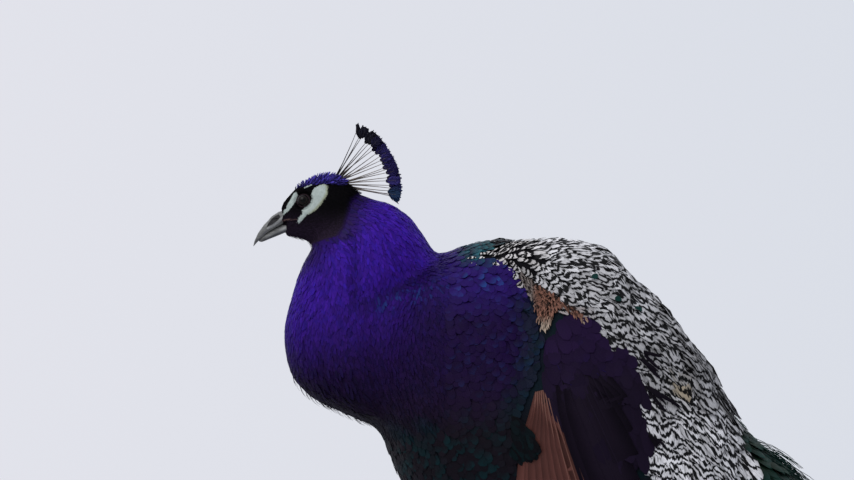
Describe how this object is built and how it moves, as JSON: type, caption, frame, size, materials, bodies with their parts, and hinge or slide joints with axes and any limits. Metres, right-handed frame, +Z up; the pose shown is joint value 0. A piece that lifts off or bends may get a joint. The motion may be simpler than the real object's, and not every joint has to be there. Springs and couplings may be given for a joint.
{
  "type": "peacock",
  "caption": "Life-size model of a peacock standing with its neck drawn in, fan crest raised, barred wings folded and its long train laid along the floor.",
  "frame": {"origin": "on the floor, under the middle of the bounding box", "axes": "the bird faces -X, its left side is towards -Y, +Z is up"},
  "size_m": [1.5972, 0.3964, 0.722],
  "materials": {
    "face_feathers": "matte black with bare white skin round the eye",
    "blue_feathers": "satin violet-blue",
    "body_feathers": "satin dark green and blue scale feathers",
    "crest_feathers": "satin blue-green tips on bare shafts",
    "barred_feathers": "matte, wavy black and cream bars",
    "dark_wing_feathers": "satin violet-black",
    "chestnut_feathers": "satin chestnut",
    "train_feathers": "satin bronze-green with eyespots",
    "tail_feathers": "matte grey-brown",
    "thigh_feathers": "matte buff-brown",
    "bill_horn": "satin grey horn",
    "claw_horn": "satin dark horn",
    "leg_scales": "satin grey-brown scales",
    "eye": "polished dark brown"
  },
  "bodies": {
    "root": {"head": "face_feathers", "bill_upper": "bill_horn", "bill_lower": "bill_horn", "eye_left": "eye", "eye_right": "eye", "crest": "crest_feathers", "neck_upper": "blue_feathers", "neck_lower": "blue_feathers", "trunk": "body_feathers", "train_upper": "train_feathers", "train_middle": "train_feathers", "train_lower": "train_feathers", "tail": "tail_feathers", "wing_left_scapulars": "barred_feathers", "wing_left_coverts": "dark_wing_feathers", "wing_left_secondaries": "dark_wing_feathers", "wing_left_primaries": "chestnut_feathers", "thigh_left": "thigh_feathers", "shank_left": "leg_scales", "foot_left": "leg_scales", "claw_left_middle": "claw_horn", "claw_left_outer": "claw_horn", "claw_left_inner": "claw_horn", "claw_left_hind": "claw_horn", "spur_left": "claw_horn", "wing_right_scapulars": "barred_feathers", "wing_right_coverts": "dark_wing_feathers", "wing_right_secondaries": "dark_wing_feathers", "wing_right_primaries": "chestnut_feathers", "thigh_right": "thigh_feathers", "shank_right": "leg_scales", "foot_right": "leg_scales", "claw_right_middle": "claw_horn", "claw_right_outer": "claw_horn", "claw_right_inner": "claw_horn", "claw_right_hind": "claw_horn", "spur_right": "claw_horn"}
  },
  "joints": []
}
